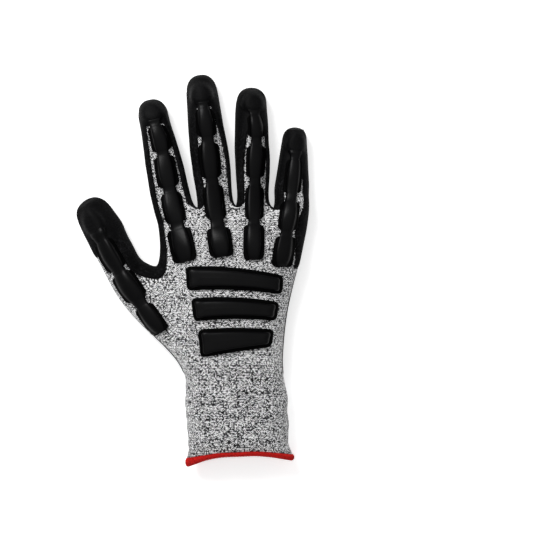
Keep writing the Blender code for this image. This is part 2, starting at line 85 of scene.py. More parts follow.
# One row a finger. lean turns its tip towards the thumb, in degrees; behind is how far its root lies back
# from the middle finger's; bare is the share of its length whose back shows knit; left and right are
# where the coating ends on its back at its root, and left_end and right_end where the bare part ends, as
# shares of its half width.
Finger = namedtuple(
    "Finger",
    "name length root_width width tip_width thickness lean behind bare left right left_end right_end",
)
INDEX = Finger(
    "index", INDEX_LENGTH, 0.2604 * PALM_WIDTH, 1.017 * FINGER_WIDTH, 0.843 * FINGER_WIDTH,
    0.97 * FINGER_THICKNESS, 12.6, 0.0225 * PALM_LENGTH, 0.76, -0.78, 0.84, -0.62, 0.62,
)
MIDDLE = Finger(
    "middle", MIDDLE_LENGTH, 0.2365 * PALM_WIDTH, 1.074 * FINGER_WIDTH, 0.870 * FINGER_WIDTH,
    FINGER_THICKNESS, 6.6, 0.0, 0.74, -0.60, 0.97, -0.42, 0.50,
)
RING = Finger(
    "ring", RING_LENGTH, 0.2167 * PALM_WIDTH, 0.974 * FINGER_WIDTH, 0.861 * FINGER_WIDTH,
    0.97 * FINGER_THICKNESS, 0.6, 0.0, 0.59, -0.58, 0.94, -0.30, 0.80,
)
LITTLE = Finger(
    "little", LITTLE_LENGTH, 0.2458 * PALM_WIDTH, 0.913 * FINGER_WIDTH, 0.696 * FINGER_WIDTH,
    0.88 * FINGER_THICKNESS, -3.0, 0.036 * PALM_LENGTH, 0.38, -0.52, 0.70, -0.46, 0.66,
)
FINGERS = (INDEX, MIDDLE, RING, LITTLE)
THUMB = Finger(
    "thumb", THUMB_LENGTH, 1.052 * THUMB_WIDTH, THUMB_WIDTH, 0.852 * THUMB_WIDTH,
    THUMB_THICKNESS, 30.2, 0.4676 * PALM_LENGTH, 0.42, -0.90, 0.20, -0.90, 0.20,
)
DIGITS = (THUMB, *FINGERS)
THUMB_REACH = 0.5458 * PALM_WIDTH
THUMB_WEB = 0.15
THUMB_HEEL = -0.05
THUMB_SWELL = 1.5 * MM

# Lines run along the hand on its sides, its back and its palm
SIDE, BACK, PALM = "side", "back", "palm"
UNDER = 0.66

# Palm and cuff sections from the knuckles to the cuff's mouth. along is a share of the palm's length
# (then of the cuff's), left and right are shares of the width, thumb_line and little_line are where the
# back's outermost lines run, as shares of the half width, and sag shifts the palm side back.
Row = namedtuple("Row", "along left right thickness thumb_line little_line sag")
PALM_ROWS = (
    Row(0.165, -0.515, 0.484, 0.92, -0.94, 0.86, 0.0),
    Row(0.385, -0.512, 0.428, 1.00, -0.95, 0.96, 0.0),
    Row(0.614, -0.505, 0.366, 1.04, -0.85, 0.80, 0.1),
    Row(0.848, -0.470, 0.333, 1.04, -0.84, 0.80, 0.6),
    Row(1.000, -0.355, 0.338, 1.00, -0.80, 0.80, 1.0),
)
CUFF_ROWS = (
    Row(0.35, -0.458, 0.486, 1.00, -0.80, 0.80, 0.6),
    Row(0.78, -0.430, 0.488, 1.02, -0.80, 0.80, 0.0),
    Row(1.00, -0.440, 0.530, 0.94, -0.80, 0.80, 0.0),
)
CROTCH_ROW, THUMB_ROW, HEEL_ROW = 2, 3, 4
WRIST_ROW = len(PALM_ROWS)

# Swellings of the guards. start and end are measured from the finger's root, as shares of its length
# ahead of it and of the palm's behind it. side is how far the swelling's middle sits off the finger's,
# and flange and ridge are half widths, all three as shares of the finger's half width. height is a
# share of the guard's.
Bead = namedtuple("Bead", "start end side flange ridge height")
BEADS = {
    "thumb": (
        Bead(0.850, 0.590, -0.26, 0.50, 0.39, 1.10),
        Bead(0.530, 0.200, -0.32, 0.54, 0.32, 0.95),
        Bead(0.150, -0.096, -0.25, 0.56, 0.37, 0.95),
        Bead(-0.142, -0.332, -0.10, 0.48, 0.34, 0.90),
    ),
    "index": (
        Bead(0.925, 0.785, -0.03, 0.62, 0.43, 0.62),
        Bead(0.745, 0.510, 0.13, 0.60, 0.36, 0.95),
        Bead(0.465, 0.180, 0.05, 0.60, 0.36, 1.00),
        Bead(0.130, -0.097, 0.00, 0.57, 0.37, 1.00),
        Bead(-0.133, -0.331, 0.02, 0.66, 0.44, 1.00),
    ),
    "middle": (
        Bead(0.890, 0.765, -0.04, 0.60, 0.41, 0.62),
        Bead(0.730, 0.510, 0.04, 0.54, 0.34, 0.95),
        Bead(0.460, 0.190, 0.03, 0.56, 0.36, 1.00),
        Bead(0.135, -0.099, 0.00, 0.60, 0.40, 1.00),
        Bead(-0.145, -0.320, 0.08, 0.70, 0.48, 1.00),
    ),
    "ring": (
        Bead(0.900, 0.785, 0.12, 0.60, 0.41, 0.62),
        Bead(0.750, 0.560, 0.30, 0.52, 0.32, 0.95),
        Bead(0.490, 0.215, 0.22, 0.58, 0.36, 1.00),
        Bead(0.140, -0.099, 0.12, 0.60, 0.38, 1.00),
        Bead(-0.126, -0.334, 0.07, 0.66, 0.44, 1.00),
    ),
    "little": (
        Bead(0.880, 0.660, 0.12, 0.60, 0.42, 0.85),
        Bead(0.600, 0.190, 0.03, 0.54, 0.32, 0.95),
        Bead(0.090, -0.129, -0.10, 0.55, 0.34, 1.00),
        Bead(-0.161, -0.341, -0.28, 0.60, 0.40, 1.00),
    ),
}

# Bars across the back of the hand: corner places as shares of the palm's length and width, how far the
# front and back edges bow forward in their middle, as shares of the palm's length, and how far the back
# corners lie further in than the front ones, as a share of its width
Bar = namedtuple(
    "Bar", "name left right front_left front_right back_left back_right front_bow back_bow taper"
)
BARS = (
    Bar("bar_front", -0.332, 0.330, 0.371, 0.425, 0.512, 0.535, 0.020, 0.016, 0.012),
    Bar("bar_middle", -0.295, 0.302, 0.557, 0.579, 0.691, 0.688, 0.018, 0.014, 0.022),
    Bar("bar_rear", -0.247, 0.266, 0.737, 0.737, 0.901, 0.839, 0.011, 0.004, 0.018),
)

# How far the dip swells over the guards' ends on the fingertips, how far past them it runs, and how far
# its faces are split more finely
MEMBRANE = 1.9 * MM
AHEAD, BEHIND, BESIDE = 4.5 * MM, 1.5 * MM, 1.8 * MM
REFINED = 6 * MM

# Rounds that bring the smooth surface through the cage's points, and how often it is divided
FIT_ROUNDS = 8
SMOOTH_LEVEL = 3

# Places where the thumb's web is evened out: middle in plan, reach and rounds, and how far each round goes
EVENED = (
    (Vector((-51.0, 35.0)) * MM, 21 * MM, 60),
    (Vector((-64.0, 50.0)) * MM, 16 * MM, 40),
)
EVENING = 0.8

# Waves of the slack knit: where they run along the hand, their length across and along, and their depth
SLACK_TOP, SLACK_FADE = -25 * MM, 20 * MM
SLACK_END, SLACK_END_FADE = -92.5 * MM, 10 * MM
WAVE_ACROSS, WAVE_ALONG = 16 * MM, 7 * MM
WAVE_DEPTH = 0.9 * MM


def root_of(finger):
    """Middle of a finger's root in plan. The fingers stand a web apart; the thumb has its own reach."""
    behind = Vector((0, -finger.behind))
    if finger is THUMB:
        return MIDDLE_ROOT + behind - Vector((THUMB_REACH, 0))
    first, last = sorted((FINGERS.index(finger), FINGERS.index(MIDDLE)))
    widths = [f.root_width for f in FINGERS[first : last + 1]]
    across = sum(widths) - (widths[0] + widths[-1]) / 2 + WEB_GAP * (last - first)
    toward = 1 if FINGERS.index(finger) > FINGERS.index(MIDDLE) else -1
    return MIDDLE_ROOT + behind + Vector((toward * across, 0))


def blend(x, *stops):
    """Value at x on a smooth line through (x, value) stops."""
    for (x0, v0), (x1, v1) in zip(stops, stops[1:]):
        if x <= x1:
            share = max(0.0, (x - x0) / (x1 - x0))
            return v0 + (v1 - v0) * share * share * (3 - 2 * share)
    return stops[-1][1]


def half_width(finger, along):
    """Half the finger's width over its coating, at a share of its length."""
    tip = 1 - finger.tip_width / 2 / finger.length
    return blend(along, (0, finger.root_width), (0.5, finger.width), (tip, finger.tip_width)) / 2


def directions(finger):
    """Plan directions towards a finger's tip and towards its little finger side."""
    lean = math.radians(finger.lean)
    return Vector((-math.sin(lean), math.cos(lean))), Vector((math.cos(lean), math.sin(lean)))


def on_finger(finger, along, across):
    """Plan point at shares of a finger's length and half width."""
    forward, rightward = directions(finger)
    return (
        root_of(finger)
        + forward * along * finger.length
        + rightward * across * half_width(finger, along)
    )


SIDE_LEVEL = 0.45
BACK_ROUNDNESS = 2.3
FLAT_SHARE = 0.5


def level(kind, across):
    """Height of a section at a share of its half width, as a share of its thickness."""
    if kind == SIDE:
        return SIDE_LEVEL
    if kind == BACK:
        arch = (1 - abs(across) ** BACK_ROUNDNESS) ** (1 / BACK_ROUNDNESS)
        return SIDE_LEVEL + (1 - SIDE_LEVEL) * arch
    turn = max(0.0, (abs(across) - FLAT_SHARE) / (1 - FLAT_SHARE))
    return SIDE_LEVEL * (1 - math.sqrt(1 - turn * turn))


def finger_lines(finger, along=0):
    """Lines round a finger, anticlockwise from its little finger side: share of half width, and place."""
    out = min(1, along / finger.bare) ** 3
    left = finger.left + (finger.left_end - finger.left) * out
    right = finger.right + (finger.right_end - finger.right) * out
    if finger is THUMB:
        back, palm = (right, (left + right) / 2, left), (-UNDER, 0, UNDER)
    else:
        back, palm = (right, left), (-UNDER, UNDER)
    lines = [(1, SIDE)] + [(across, BACK) for across in back]
    return lines + [(-1, SIDE)] + [(across, PALM) for across in palm]


def coated_columns(finger):
    """Which columns of faces between a finger's lines the coating covers where its back is bare."""
    places = [kind for _, kind in finger_lines(finger)]
    bare = {i for i, kind in enumerate(places) if kind == BACK and places[i + 1] == BACK}
    if finger is THUMB:
        bare.add(places.index(SIDE, 1) - 1)
    return set(range(len(places))) - bare


def finger_rings(finger):
    """Sections of a finger: share of its length on either side, of its width and thickness, and lift."""
    tip = finger.tip_width / 2 / finger.length
    root = KNUCKLE_THICKNESS / finger.thickness
    right, left = (THUMB_WEB, THUMB_HEEL) if finger is THUMB else (0, 0)
    second = (right + finger.bare) / 2
    return (
        (right, left, 1, root, 0),
        (second, second, 1, 1 + (root - 1) / 3, 0),
        (finger.bare, finger.bare, 1, 1, 0),
        (1 - tip, 1 - tip, 1, 0.92, 0.01),
        (1 - 0.33 * tip, 1 - 0.33 * tip, 0.76, 0.66, 0.10),
    )


def finger_ring(finger, ring):
    """Points of the knit's outer face round one section of a finger."""
    right, left, narrow, thin, lift = ring
    rise = finger.thickness - SKIN
    points = []
    for across, kind in finger_lines(finger, (right + left) / 2):
        along = (right + left) / 2 + (right - left) / 2 * across
        inset = 1 - SKIN / half_width(finger, along)
        plan = on_finger(finger, along, across * narrow * inset)
        height = SKIN + rise * (lift + thin * level(kind, across))
        points.append(Vector((plan.x, plan.y, height)))
    return points


def palm_shares(roots):
    """Share of the half width of each back line and each palm line at the knuckles."""
    left, right = roots[0][W].x, roots[-1][E].x
    middle, half = (left + right) / 2, (right - left) / 2
    back = [(ring[i].x - middle) / half for ring in roots for i in (BL, BR)]
    palm = [(ring[i].x - middle) / half for ring in roots for i in (SW, SE)]
    return back, palm


def palm_ring(row, roots, even):
    """Points round the palm or cuff: thumb side, over the back, little finger side, under the palm."""
    if row in PALM_ROWS:
        y = MIDDLE_ROOT.y - row.along * PALM_LENGTH
        left, right = row.left * PALM_WIDTH + SKIN, row.right * PALM_WIDTH - SKIN
    else:
        y = MIDDLE_ROOT.y - PALM_LENGTH - row.along * CUFF_LENGTH
        left, right = row.left * CUFF_WIDTH, row.right * CUFF_WIDTH
    at_mouth = row is CUFF_ROWS[-1]
    middle, half = (left + right) / 2, (right - left) / 2
    rise = PALM_THICKNESS * row.thickness - SKIN
    back, palm = palm_shares(roots)
    last = len(back) - 1
    points = []

    def place(share, kind):
        drop = row.sag * COAT_SAG * (1 - share * share) if kind == PALM else 0
        lift = at_mouth * (CUFF_ARCH * (1 - share * share) + CUFF_TILT * share)
        points.append(Vector((middle + share * half, y - drop + lift, SKIN + rise * level(kind, share))))

    def evened(shares, i):
        spread = row.thumb_line + (row.little_line - row.thumb_line) * i / last
        return shares[i] + (spread - shares[i]) * even

    place(-1, SIDE)
    place(row.thumb_line, BACK)
    if row is PALM_ROWS[CROTCH_ROW - 1]:
        points[-1].y -= CROTCH_BAND
    for i in range(1, last):
        place(evened(back, i), BACK)
    place(row.little_line, BACK)
    place(1, SIDE)
    for i in range(last, -1, -1):
        place(evened(palm, i), PALM)
    return points


class Cage:
    """Quads of the hand's coarse form, each marked as coated or bare."""

    def __init__(self):
        self.points = []
        self.faces = []
        self.coated = []

    def add(self, points):
        """Adds points and returns their indices."""
        first = len(self.points)
        self.points += points
        return list(range(first, first + len(points)))

    def quad(self, corners, coated):
        """Adds a face by its corners, anticlockwise from outside."""
        self.faces.append(corners)
        self.coated.append(coated)

    def band(self, lower, upper, coated):
        """Faces between two rings of a finger; coated says which columns the coating covers."""
        count = len(lower)
        for i in range(count):
            j = (i + 1) % count
            self.quad((lower[j], lower[i], upper[i], upper[j]), i in coated)


# Places round a finger's ring
E, BR, BL, W, SW, SE = range(6)


def add_finger(cage, finger, root):
    """The finger's sections beyond its root ring, and its closed tip."""
    rings = finger_rings(finger)
    lower = root
    for ring in rings[1:]:
        upper = cage.add(finger_ring(finger, ring))
        bare = ring[0] <= finger.bare
        cage.band(lower, upper, coated_columns(finger) if bare else set(range(len(lower))))
        lower = upper
    plan = on_finger(finger, 1 - SKIN / finger.length, 0)
    tip = cage.add([Vector((plan.x, plan.y, finger.thickness * 0.46))])[0]
    for i in range(0, len(lower), 2):
        cage.quad((tip, lower[(i + 2) % len(lower)], lower[i + 1], lower[i]), True)


def hand_cage():
    """The whole outer face of the knit as a cage, open at the cuff."""
    cage = Cage()
    root_points = [finger_ring(f, finger_rings(f)[0]) for f in FINGERS]
    roots = [cage.add(points) for points in root_points]
    for finger, root in zip(FINGERS, roots):
        add_finger(cage, finger, root)
    for a, b in zip(roots, roots[1:]):
        cage.quad((a[BR], b[BL], b[W], a[E]), True)
        cage.quad((a[E], b[W], b[SW], a[SE]), True)

    upper = [roots[0][W]]
    upper += [ring[i] for ring in roots for i in (BL, BR)]
    upper += [roots[-1][E]]
    upper += [ring[i] for ring in reversed(roots) for i in (SE, SW)]
    last_back = 2 * len(FINGERS)
    rows = [upper]
    for number, row in enumerate(PALM_ROWS + CUFF_ROWS, start=1):
        lower = cage.add(palm_ring(row, root_points, even=min(1.0, number / WRIST_ROW)))
        count = len(lower)
        for i in range(count):
            j = (i + 1) % count
            if CROTCH_ROW < number <= HEEL_ROW and 0 in (i, j):
                continue
            coated_rows = WRIST_ROW
            if i in (0, last_back):
                coated_rows = CROTCH_ROW
            elif i < last_back:
                coated_rows = 0
            cage.quad((lower[i], lower[j], rows[-1][j], rows[-1][i]), number <= coated_rows)
        rows.append(lower)

    # The thumb's root stands on the mouth left between these rows
    crotch, beside, heel = (rows[number] for number in (CROTCH_ROW, THUMB_ROW, HEEL_ROW))
    mouth = [crotch[0], crotch[1], beside[1], heel[1], heel[0], heel[-1], beside[-1], crotch[-1]]
    root = cage.add(finger_ring(THUMB, finger_rings(THUMB)[0]))
    between = cage.add([(cage.points[a] + cage.points[b]) / 2 for a, b in zip(mouth, root)])
    cage.points[between[mouth.index(heel[0])]] -= directions(THUMB)[1].to_3d() * THUMB_SWELL
    cage.band(mouth, between, coated_columns(THUMB))
    cage.band(between, root, coated_columns(THUMB))
    add_finger(cage, THUMB, root)
    return cage


def put(name, data):
    """A new object in the scene."""
    obj = bpy.data.objects.new(name, data)
    bpy.context.scene.collection.objects.link(obj)
    return obj


@contextmanager
def edited(mesh):
    """The mesh as a shape to edit, written back afterwards."""
    shape = bmesh.new()
    shape.from_mesh(mesh)
    yield shape
    shape.to_mesh(mesh)
    shape.free()


def evaluated(obj):
    """The object's mesh with its modifiers, as a new mesh."""
    bpy.context.view_layer.update()
    graph = bpy.context.evaluated_depsgraph_get()
    return bpy.data.meshes.new_from_object(obj.evaluated_get(graph))


def smooth_hand():
    """The knit's outer face, smooth through the cage's points; coated faces have material index 1."""
    cage = hand_cage()
    mesh = bpy.data.meshes.new("hand_cage")
    mesh.from_pydata(cage.points, [], cage.faces)
    mesh.polygons.foreach_set("material_index", cage.coated)
    for _ in range(2):
        mesh.materials.append(None)
    used = {i for face in cage.faces for i in face}
    unused = [i for i in range(len(cage.points)) if i not in used]
    guide = put("hand_cage", mesh)
    smooth = guide.modifiers.new("smooth", "SUBSURF")
    smooth.levels = smooth.render_levels = SMOOTH_LEVEL
    for _ in range(FIT_ROUNDS):
        surface = evaluated(guide)
        for vertex, target in zip(mesh.vertices, cage.points):
            vertex.co += target - surface.vertices[vertex.index].co
        bpy.data.meshes.remove(surface)
    surface = evaluated(guide)
    bpy.data.objects.remove(guide)
    with edited(surface) as shape:
        shape.verts.ensure_lookup_table()
        bmesh.ops.delete(shape, geom=[shape.verts[i] for i in unused], context="VERTS")
        for vertex in shape.verts:
            vertex.co.z = max(vertex.co.z, SKIN)
    return surface


def vectors(items, name):
    """One vector of each item, as an array."""
    flat = np.empty(len(items) * 3)
    items.foreach_get(name, flat)
    return flat.reshape(-1, 3)


def coordinates(mesh):
    """Vertex positions as an array."""
    return vectors(mesh.vertices, "co")


def normals(mesh):
    """Vertex normals as an array."""
    return vectors(mesh.vertex_normals, "vector")


def set_coordinates(mesh, places):
    """Moves the vertices to an array of positions."""
    mesh.vertices.foreach_set("co", places.ravel())
    mesh.update()


def neighbour_mean(mesh, places):
    """Mean position of each vertex's neighbours."""
    ends = np.empty(len(mesh.edges) * 2, dtype=int)
    mesh.edges.foreach_get("vertices", ends)
    a, b = ends.reshape(-1, 2).T
    total = np.zeros_like(places)
    np.add.at(total, a, places[b])
    np.add.at(total, b, places[a])
    return total / np.maximum(np.bincount(ends, minlength=len(places)), 1)[:, None]


def relax(mesh, centre, reach, rounds):
    """Evens out the surface round a plan point."""
    places = coordinates(mesh)
    apart = np.hypot(places[:, 0] - centre[0], places[:, 1] - centre[1])
    share = eased((reach - apart) / (0.5 * reach))[:, None] * EVENING
    for _ in range(rounds):
        places += (neighbour_mean(mesh, places) - places) * share
    set_coordinates(mesh, places)


def round_tips(mesh):
    """Draws each fingertip's corners in to a round outline."""
    places = coordinates(mesh)
    for finger in DIGITS:
        ways = np.array([way[:] for way in directions(finger)])
        dome = finger.tip_width / 2 - SKIN
        centre = np.array(on_finger(finger, (finger.length - SKIN - dome) / finger.length, 0))
        local = (places[:, :2] - centre) @ ways.T
        radius = np.hypot(*local.T) / dome
        zone = (local[:, 0] > 0) & (np.abs(local[:, 1]) < 1.5 * dome)
        local *= np.where(zone, 1 / np.maximum(1, radius), 1)[:, None]
        places[:, :2] = np.where(zone[:, None], centre + local @ ways, places[:, :2])
    set_coordinates(mesh, places)


def eased(share):
    """Smooth step of an array from 0 to 1."""
    share = np.clip(share, 0, 1)
    return share * share * (3 - 2 * share)


def rumple(mesh):
    """Soft waves in the slack knit of the wrist and cuff."""
    places, away = coordinates(mesh), normals(mesh)
    y = places[:, 1]
    slack = eased((SLACK_TOP - y) / SLACK_FADE) * eased((y - SLACK_END) / SLACK_END_FADE)
    stretch = np.array([WAVE_ACROSS, WAVE_ALONG, WAVE_ACROSS])
    waves = np.array([noise.noise(Vector(p)) for p in places / stretch])
    places += away * (waves * slack * WAVE_DEPTH)[:, None]
    places[:, 2] = np.maximum(places[:, 2], SKIN)
    set_coordinates(mesh, places)


def over_bead(places, finger, bead):
    """Share by which plan points lie on the rounded end of a guard."""
    forward, rightward = (np.array(way) for way in directions(finger))
    start, end = bead_ends(finger, bead)
    middle, half = (start + end) / 2, (start - end) / 2
    local = places[:, :2] - np.array(root_of(finger))
    width = half_width(finger, start / finger.length)
    along = local @ forward - middle
    along /= half + np.where(along > 0, AHEAD, BEHIND)
    across = (local @ rightward - bead.side * width) / (bead.flange * width + BESIDE)
    return eased((1.05 - np.hypot(along, across)) / 0.6)


def set_attribute(mesh, name, values):
    """Stores one number for each vertex."""
    layer = mesh.attributes.new(name, "FLOAT", "POINT")
    layer.data.foreach_set("value", np.asarray(values, dtype=float))


# The knit turns to a finger's own direction over this length from its root: how much sooner it starts, in
# such lengths, and how far to either side it goes, as a share of the root's width
TURN_LENGTH = 16 * MM
FINGER_TURN = 0, 0.62
THUMB_TURN = 0.6, 0.75

# How far down a face may look before its stitches are the palm's
PALM_FACING = -0.35


def lay_stitches(mesh):
    """UV map in millimetres that follows the knitting across and along the hand and each finger."""
    places = coordinates(mesh)
    plan = places[:, :2].copy()
    for finger in DIGITS:
        ways = np.array([way[:] for way in directions(finger)])
        root = np.array(root_of(finger))
        along, across = ((places[:, :2] - root) @ ways.T).T
        sooner, reach = THUMB_TURN if finger is THUMB else FINGER_TURN
        own = eased(along / TURN_LENGTH + sooner) * (np.abs(across) < reach * finger.root_width)
        turned = root + np.stack([across, along], 1)
        plan += (turned - plan) * own[:, None]
    faces = np.array([face.vertices[:] for face in mesh.polygons])
    over = np.array([face.normal.z for face in mesh.polygons])[:, None] > PALM_FACING
    sideways = normals(mesh)[:, 0]
    side = (sideways * np.abs(sideways))[faces]
    x, y = plan[faces].transpose(2, 0, 1)
    around = x + side * (PALM_THICKNESS - places[faces][:, :, 2])
    uv = np.stack([np.where(over, around, -x), y], 2) / MM
    mesh.uv_layers.new(name="stitches").data.foreach_set("uv", uv.ravel())


# Points on each of the coating's edges from which the distance to it is taken
RIM_STEPS = 6


def coat_reach(mesh):
    """Distance of each vertex from the coating's edge, in metres: positive under the coating."""
    found = np.zeros((2, len(mesh.vertices)), dtype=bool)
    for face in mesh.polygons:
        found[face.material_index, list(face.vertices)] = True
    bare, coated = found
    both = bare & coated
    places = coordinates(mesh)
    rim = []
    for edge in mesh.edges:
        a, b = edge.vertices
        if both[a] and both[b]:
            rim += [places[a] + (places[b] - places[a]) * k / RIM_STEPS for k in range(RIM_STEPS)]
    tree = KDTree(len(rim))
    for i, point in enumerate(rim):
        tree.insert(point, i)
    tree.balance()
    reach = np.array([tree.find(point)[2] for point in places])
    reach[both] = 0
    return np.where(coated, reach, -reach)


def keep_coated(mesh):
    """A copy of the surface with only its coated faces."""
    kept = mesh.copy()
    with edited(kept) as shape:
        bare = [face for face in shape.faces if face.material_index == 0]
        bmesh.ops.delete(shape, geom=bare, context="FACES")
    return kept


def refine_tips(mesh):
    """Splits the coating's faces more finely round the guards' ends."""
    near = set()
    with edited(mesh) as shape:
        for finger in DIGITS:
            bead = BEADS[finger.name][0]
            start, end = bead_ends(finger, bead)
            middle = on_finger(finger, (start + end) / 2 / finger.length, bead.side)
            reach = (start - end) / 2 + REFINED
            for face in shape.faces:
                if face.normal.z > 0 and (face.calc_center_median().xy - middle).length < reach:
                    near.update(face.edges)
        bmesh.ops.subdivide_edges(shape, edges=list(near), cuts=2, use_grid_fill=True)


def wall(obj, thickness):
    """Gives an open surface its thickness, inwards."""
    solid = obj.modifiers.new("wall", "SOLIDIFY")
    solid.thickness = thickness
    solid.offset = -1


def finished(name, mesh, finish, node):
    """A piece of the glove that stands for a CAD node."""
    mesh.materials.clear()
    mesh.materials.append(finish)
    mesh.polygons.foreach_set("material_index", [0] * len(mesh.polygons))
    mesh.shade_smooth()
    mesh.name = name
    obj = put(name, mesh)
    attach(obj, "root")
    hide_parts(node)
    return obj


class Ground:
    """The glove's surface that guards and bars lie on."""

    def __init__(self, mesh):
        shape = bmesh.new()
        shape.from_mesh(mesh)
        bmesh.ops.triangulate(shape, faces=shape.faces[:])
        self.tree = BVHTree.FromBMesh(shape)
        shape.free()

    def above(self, plan, height):
        """Point this far above the surface, or above its nearest edge beside the glove."""
        hit = self.tree.ray_cast(Vector((plan[0], plan[1], 0.1)), Vector((0, 0, -1)))[0]
        if hit is None:
            hit = self.tree.find_nearest(Vector((plan[0], plan[1], SIDE_LEVEL * FINGER_THICKNESS)))[0]
        return Vector((plan[0], plan[1], hit.z + height))


WELD = 0.02 * MM


def bridge(shape, rings):
    """Faces between each ring of vertices and the next."""
    for a, b in zip(rings, rings[1:]):
        for i in range(len(a)):
            j = (i + 1) % len(a)
            shape.faces.new((a[i], a[j], b[j], b[i]))


def loft(loops, raised, capped):
    """A closed solid through loops of points, which keeps how far each point is raised. Its end loops are
    capped, or lie doubled on a line."""
    shape = bmesh.new()
    layer = shape.verts.layers.float.new("raised")
    rings = [[shape.verts.new(p) for p in loop] for loop in loops]
    for vertex, value in zip(shape.verts, raised):
        vertex[layer] = value
    bridge(shape, rings)
    if capped:
        shape.faces.new(rings[0][::-1])
        shape.faces.new(rings[-1])
    else:
        bmesh.ops.remove_doubles(shape, verts=shape.verts[:], dist=WELD)
    bmesh.ops.recalc_face_normals(shape, faces=shape.faces[:])
    mesh = bpy.data.meshes.new("loft")
    shape.to_mesh(mesh)
    shape.free()
    return mesh


# Colours and patterns


def linear(code):
    """Linear RGB of an sRGB hex value."""
    parts = [int(code[i : i + 2], 16) / 255 for i in (1, 3, 5)]
    return tuple(p / 12.92 if p <= 0.04045 else ((p + 0.055) / 1.055) ** 2.4 for p in parts)


def plug(tree, node, inputs):
    """Sets a node's inputs to values, or links them to other nodes' outputs."""
    for socket, value in inputs.items():
        if isinstance(value, bpy.types.NodeSocket):
            tree.links.new(value, node.inputs[socket])
        else:
            node.inputs[socket].default_value = value


def add(tree, kind, inputs=None, **settings):
    """Adds a node with its settings and its inputs."""
    made = tree.nodes.new(kind)
    for name, value in settings.items():
        setattr(made, name, value)
    plug(tree, made, inputs or {})
    return made


def result(tree, kind, inputs=None, **settings):
    """First output of a new node."""
    return add(tree, kind, inputs, **settings).outputs[0]


def math_node(tree, operation, *values):
    """Output of a Math node."""
    return result(tree, "ShaderNodeMath", dict(enumerate(values)), operation=operation)


def ramp(tree, factor, *stops):
    """Output of a colour ramp through (place, hex colour) stops."""
    made = add(tree, "ShaderNodeValToRGB", {0: factor})
    points = made.color_ramp.elements
    while len(points) < len(stops):
        points.new(0.5)
    for point, (place, code) in zip(points, stops):
        point.position = place
        point.color = (*linear(code), 1)
    return made.outputs[0]


def clouds(tree, place, size, detail):
    """Output of a noise whose forms are about this size."""
    return result(tree, "ShaderNodeTexNoise", {"Vector": place, "Scale": 1 / size, "Detail": detail})


def stored(tree, name):
    """Output of a number stored on the mesh."""
    return add(tree, "ShaderNodeAttribute", attribute_name=name).outputs["Fac"]


def bump(tree, height, strength, depth):
    """Output of a Bump node."""
    return result(tree, "ShaderNodeBump", {"Height": height, "Strength": strength, "Distance": depth})


def material(name):
    """A new material, its node tree, its Principled shader, object coordinates and a maths function."""
    made = bpy.data.materials.new(name)
    made.use_nodes = True
    tree = made.node_tree
    place = add(tree, "ShaderNodeTexCoord").outputs["Object"]
    return made, tree, tree.nodes["Principled BSDF"], place, partial(math_node, tree)


# Knit, in millimetres: wales run along the hand, courses across it. LEG_SLANT is in courses, and a stitch
# strays by up to half of STRAY.
WALE = 1.5
COURSE = 1.15
LEG_SLANT = 0.5
STRAY = (1.3, 0.9, 0)
STRAY_SIZE = 6.25
FIBRE_SIZE = 0.3125
PATCH_SIZE = 8.3

# What the marl's tone is made of: each ply's own tone, its fibres, soft patches, the turn of the two plies,
# and each course's own tone
OWN, FIBRES, PATCHES, TURNS, COURSES = 0.6, 0.25, 0.12, 0.2, 0.12

# Along the hand, in millimetres, where the knit's tone goes from lighter over the hand to darker over the
# cuff, and how far it shifts: painted shade for the softer light on the cuff
CUFF_FROM, CUFF_TO = -30.0, -50.0
HAND_LIGHT_SHIFT, CUFF_SHADE_SHIFT = -0.04, 0.015

# The dip soaks a ply near its edge when the ply's own tone is high enough
SOAK, SOAK_LIMIT = 1.4, 0.75


def stitch_nodes(tree):
    """Stocking stitch: the stitch map, the yarn's height, and the number of each leg and of each ply."""
    calc = partial(math_node, tree)
    uv = add(tree, "ShaderNodeUVMap", uv_map="stitches").outputs["UV"]
    inputs = {"Vector": uv, "Scale": 1 / STRAY_SIZE, "Detail": 2.0}
    drift = add(tree, "ShaderNodeTexNoise", inputs).outputs["Color"]
    drift = result(tree, "ShaderNodeVectorMath", {0: drift, 1: (0.5, 0.5, 0.5)}, operation="SUBTRACT")
    moved = result(tree, "ShaderNodeVectorMath", {0: drift, 1: STRAY, 2: uv}, operation="MULTIPLY_ADD")
    place = add(tree, "ShaderNodeSeparateXYZ", {0: moved}).outputs
    wale = calc("DIVIDE", place[0], WALE)
    off_middle = calc("ABSOLUTE", calc("SUBTRACT", calc("FRACT", wale), 0.5))
    slant = calc("MULTIPLY", off_middle, LEG_SLANT)
    course = calc("SUBTRACT", calc("DIVIDE", place[1], COURSE), slant)
    leg = calc("MULTIPLY", wale, 2.0)
    ply = calc("MULTIPLY", course, 2.0)

    def rounded(value):
        centred = calc("MULTIPLY_ADD", calc("FRACT", value), 2.0, -1.0)
        return calc("POWER", calc("SUBTRACT", 1.0, calc("MULTIPLY", centred, centred)), 0.5)

    across = calc("MULTIPLY_ADD", rounded(leg), 0.22, 0.78)
    along = calc("MULTIPLY_ADD", rounded(ply), 0.25, calc("MULTIPLY", rounded(course), 0.75))
    return uv, calc("MULTIPLY", across, along), calc("FLOOR", leg), calc("FLOOR", ply)


